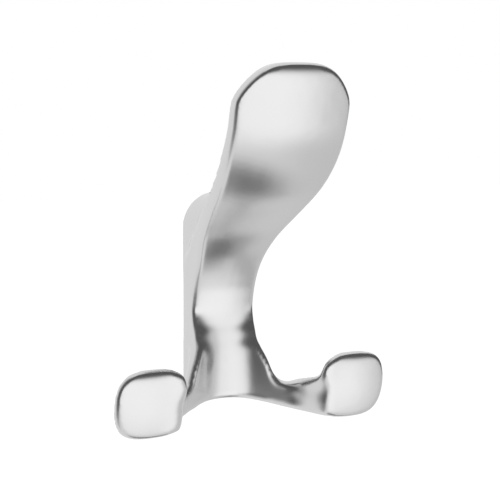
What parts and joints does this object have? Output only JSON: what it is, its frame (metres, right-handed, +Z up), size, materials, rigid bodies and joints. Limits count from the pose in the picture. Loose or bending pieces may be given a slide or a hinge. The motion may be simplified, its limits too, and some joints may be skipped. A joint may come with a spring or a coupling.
{
  "type": "coat hook",
  "caption": "Cast hat and coat hook with an upright upper paddle leaning out from the wall and a spread of lower arms ending in rounded pads; hidden fixing from behind.",
  "frame": {"origin": "middle of the two fixing screws, on the wall face at the back of the hook", "axes": "+Y into the wall, the hook standing out towards -Y; +Z up; X across, along which the hook is symmetric"},
  "size_m": [0.0862, 0.0483, 0.1015],
  "materials": {
    "satin_chrome": "satin chrome plate over die-cast zinc"
  },
  "bodies": {
    "root": {"hook_casting": "satin_chrome"}
  },
  "joints": []
}
